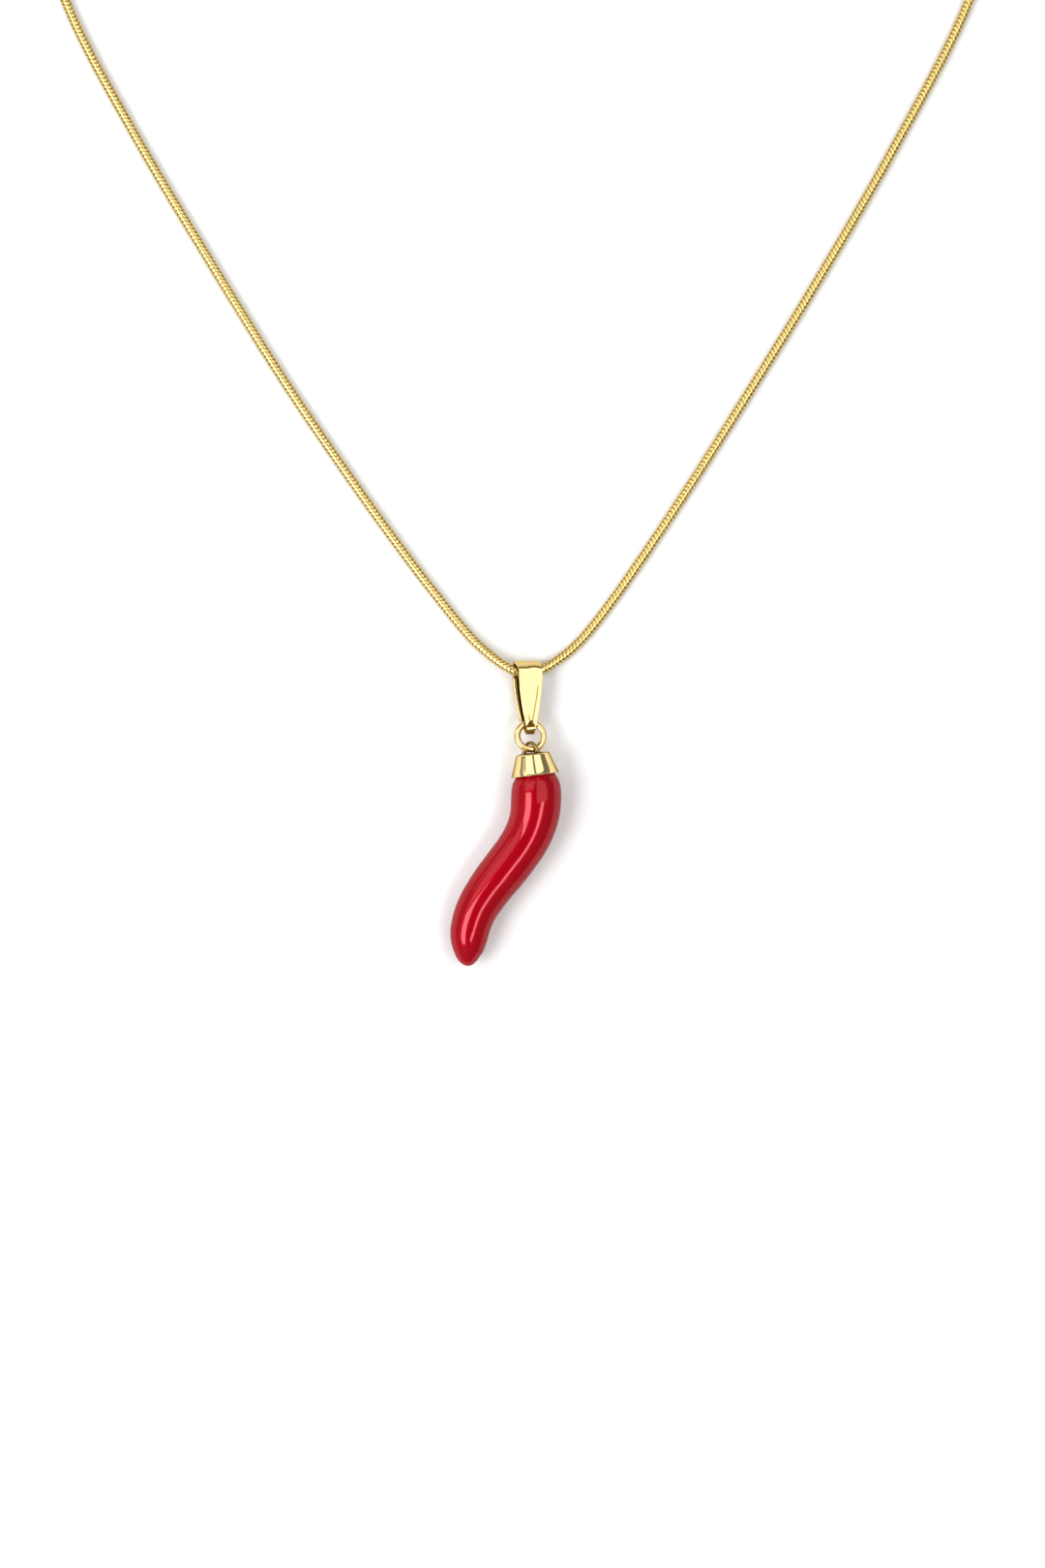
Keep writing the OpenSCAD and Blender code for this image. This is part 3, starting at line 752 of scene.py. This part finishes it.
def clasp_surface():
    """Profile of radius against place along the barrel, turned round X: a quarter of an ellipse from the
    end's face to the barrel's radius, a V-shaped waist 0.12 mm deep, two fine turned lines at 0.75 mm from
    it, and the end holes with a small round at their mouths."""
    a = np.radians(np.linspace(0, 90, 20))
    end_x = CLASP_HALF - END_ROUND * (1 - np.cos(a))
    end = np.stack([end_x, END_RADIUS + (CLASP_RADIUS - END_RADIUS) * np.sin(a)], -1)
    x = np.linspace(CLASP_HALF - END_ROUND - 0.15 * mm, 0, 96)
    waist = WAIST_DEPTH * np.clip(1 - x / WAIST_HALF, 0, 1)
    turned_line = TURNED_DEPTH * np.exp(-(((x - TURNED_AT) / TURNED_WIDTH) ** 2))
    barrel = np.stack([x, CLASP_RADIUS - waist - turned_line], -1)
    b = np.radians(np.linspace(180, 90, 6))
    mouth_x = CLASP_HALF - MOUTH_ROUND + MOUTH_ROUND * np.sin(b)
    mouth = np.stack([mouth_x, HOLE_RADIUS + MOUTH_ROUND + MOUTH_ROUND * np.cos(b)], -1)
    bottom = CLASP_HALF - HOLE_DEPTH
    hole = np.stack([np.linspace(bottom, CLASP_HALF - MOUTH_DEPTH, 8), np.full(8, HOLE_RADIUS)], -1)
    base = np.stack([np.full(6, bottom), np.linspace(0.02, 0.66, 6) * mm], -1)
    half = np.concatenate([base, hole, mouth, end, barrel])
    profile = np.concatenate([half, half[-2::-1] * [-1, 1]])
    around = np.linspace(0, 2 * np.pi, CLASP_SIDES, endpoint=False)
    r, along = profile[:, 1, None], profile[:, 0, None]
    return np.stack([along + 0 * around, r * np.cos(around), r * np.sin(around)], -1) + CLASP_AT


clasp = grid_piece("barrel_clasp", clasp_surface())
coat(clasp, "polished_gold_plating", polished_gold_plating)
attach(clasp, "root")
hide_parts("clasp")


# The table: a matt white board, far wider than the necklace. It isn't part of the object.
floor_mesh = bpy.data.meshes.new("white_board")
floor_mesh.from_pydata([(-4, -4, 0), (4, -4, 0), (4, 4, 0), (-4, 4, 0)], [], [(0, 1, 2, 3)])
floor = bpy.data.objects.new("white_board", floor_mesh)
bpy.context.scene.collection.objects.link(floor)
coat(floor, "matt_white_board", lambda tree: {"Base Color": linear("#eeeeee"), "Roughness": 0.9})

# The light: a strong soft box on the left and a strong narrow one on the right, turned along the pepper,
# give it its two streaks. Four wide dim boxes light the bail, the cap and the chain, in a room that is paler
# on the left and dark overhead.
LAMPS_FROM = (0.0015, -0.07, 0)  # m, on the bail
LAMPS = [  # name, middle x, y, z in m from there, width, height in m, turn about Z, radiance
    ("left_box", (-0.48, -0.215, 0.60), 0.44, 0.53, 0, 7.2),
    ("right_box", (0.405, 0.084, 0.60), 0.75, 0.31, 0, 1.4),
    ("right_strip", (0.255, -0.21, 0.60), 0.15, 0.46, -39, 7.8),
    ("back_left_box", (-0.475, 0.38, 0.60), 0.75, 0.56, 0, 1.4),
    ("far_left_box", (-1.25, 0.90, 0.60), 0.70, 0.50, 0, 1.5),
    ("back_right_box", (0.37, 0.475, 0.60), 0.68, 0.47, 0, 1.5),
]
for name, place, width, height, turn, radiance in LAMPS:
    light = bpy.data.lights.new(name, "AREA")
    light.shape = "RECTANGLE"
    light.size, light.size_y = width, height
    light.energy = radiance * np.pi * width * height
    lamp = bpy.data.objects.new(name, light)
    lamp.location = np.array(place) + LAMPS_FROM
    lamp.rotation_euler = np.radians([0, 0, turn])
    lamp.visible_camera = False
    bpy.context.scene.collection.objects.link(lamp)

world = bpy.data.worlds.new("pale_room")
world.use_nodes = True
world.node_tree.nodes.clear()
toward = add(world.node_tree, "ShaderNodeTexCoord").outputs["Generated"]
way = add(world.node_tree, "ShaderNodeSeparateXYZ", {"Vector": toward})
left = add(
    world.node_tree,
    "ShaderNodeMapRange",
    {"Value": way.outputs["X"], "From Min": -0.3, "From Max": 0.35, "To Min": 0.33, "To Max": 0.2},
    interpolation_type="SMOOTHSTEP",
)
overhead = add(
    world.node_tree,
    "ShaderNodeMapRange",
    {"Value": way.outputs["Z"], "From Min": 0.7, "From Max": 0.9, "To Min": 1.0, "To Max": 0.25},
    interpolation_type="SMOOTHSTEP",
)
room = add(world.node_tree, "ShaderNodeMath", {0: left, 1: overhead}, operation="MULTIPLY")
sky = add(world.node_tree, "ShaderNodeBackground", {"Color": (1.0, 0.99, 0.98, 1.0), "Strength": room})
add(world.node_tree, "ShaderNodeOutputWorld", {"Surface": sky})
bpy.context.scene.world = world
bpy.context.scene.view_settings.view_transform = "Standard"

# The camera looks straight down on the pendant's side of the loop, so that the clasp's side is out of view.
camera_data = bpy.data.cameras.new("camera")
camera_data.lens = 85
camera = bpy.data.objects.new("camera", camera_data)
camera.location = (0.875 * mm, -79.625 * mm, 478.1 * mm)
bpy.context.scene.collection.objects.link(camera)
bpy.context.scene.camera = camera
